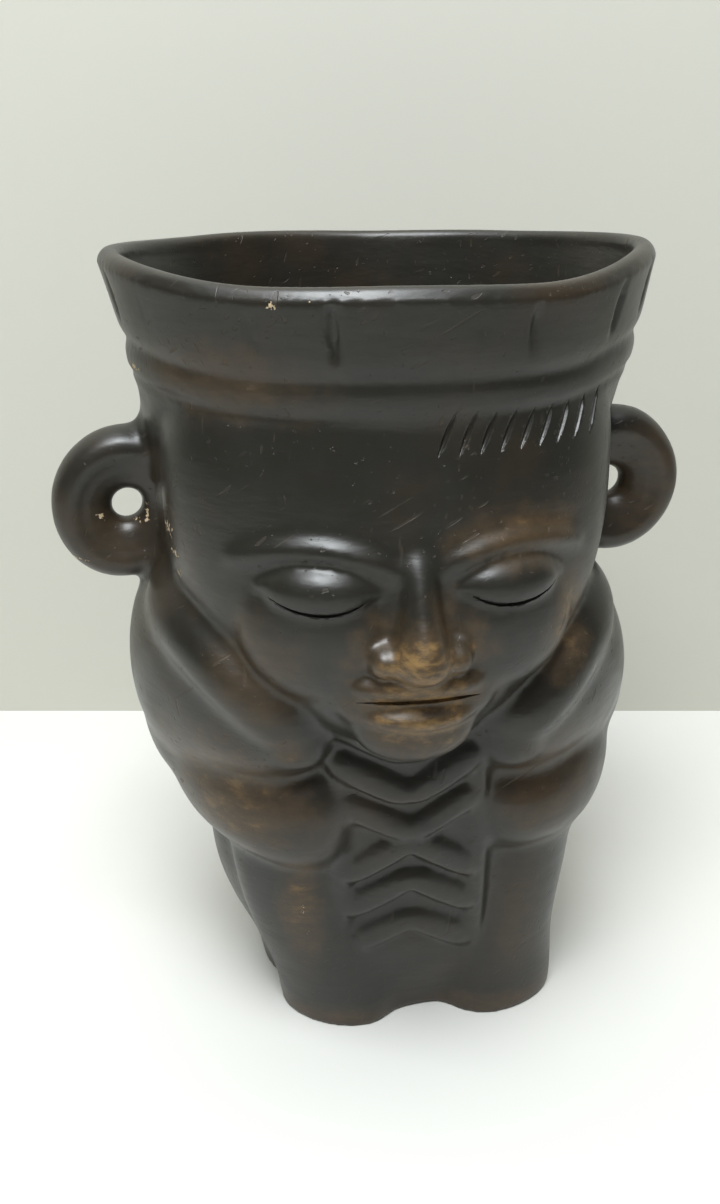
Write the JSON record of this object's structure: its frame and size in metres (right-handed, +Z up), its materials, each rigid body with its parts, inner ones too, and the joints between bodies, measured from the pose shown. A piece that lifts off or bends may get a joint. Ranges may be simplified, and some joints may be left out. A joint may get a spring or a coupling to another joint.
{
  "type": "portrait vessel",
  "caption": "Black fired-clay cup shaped as a squatting figure: face in front, pierced ear discs, flared headdress mouth.",
  "frame": {"origin": "on the table, in the middle of the vessel's flat underside as the mouth's centre falls on it", "axes": "+Z up through the mouth, -Y towards the front that the figure faces, +X to the figure's left"},
  "size_m": [0.168, 0.1285, 0.21],
  "materials": {
    "burnished_clay": "burnished satin black slip on fired clay",
    "worn_clay": "burnished slip worn to warm brown clay on raised places"
  },
  "bodies": {
    "root": {"base_slab": "burnished_clay", "front_shell": "burnished_clay", "back_shell": "burnished_clay", "headdress_collar": "burnished_clay", "headband": "burnished_clay", "hair_fringe": "burnished_clay", "face": "worn_clay", "right_ear_disc": "worn_clay", "left_ear_disc": "worn_clay", "right_arm": "worn_clay", "left_arm": "worn_clay", "tunic_panel": "burnished_clay", "right_knee": "worn_clay", "left_knee": "worn_clay", "right_foot": "worn_clay", "left_foot": "worn_clay"}
  },
  "joints": []
}
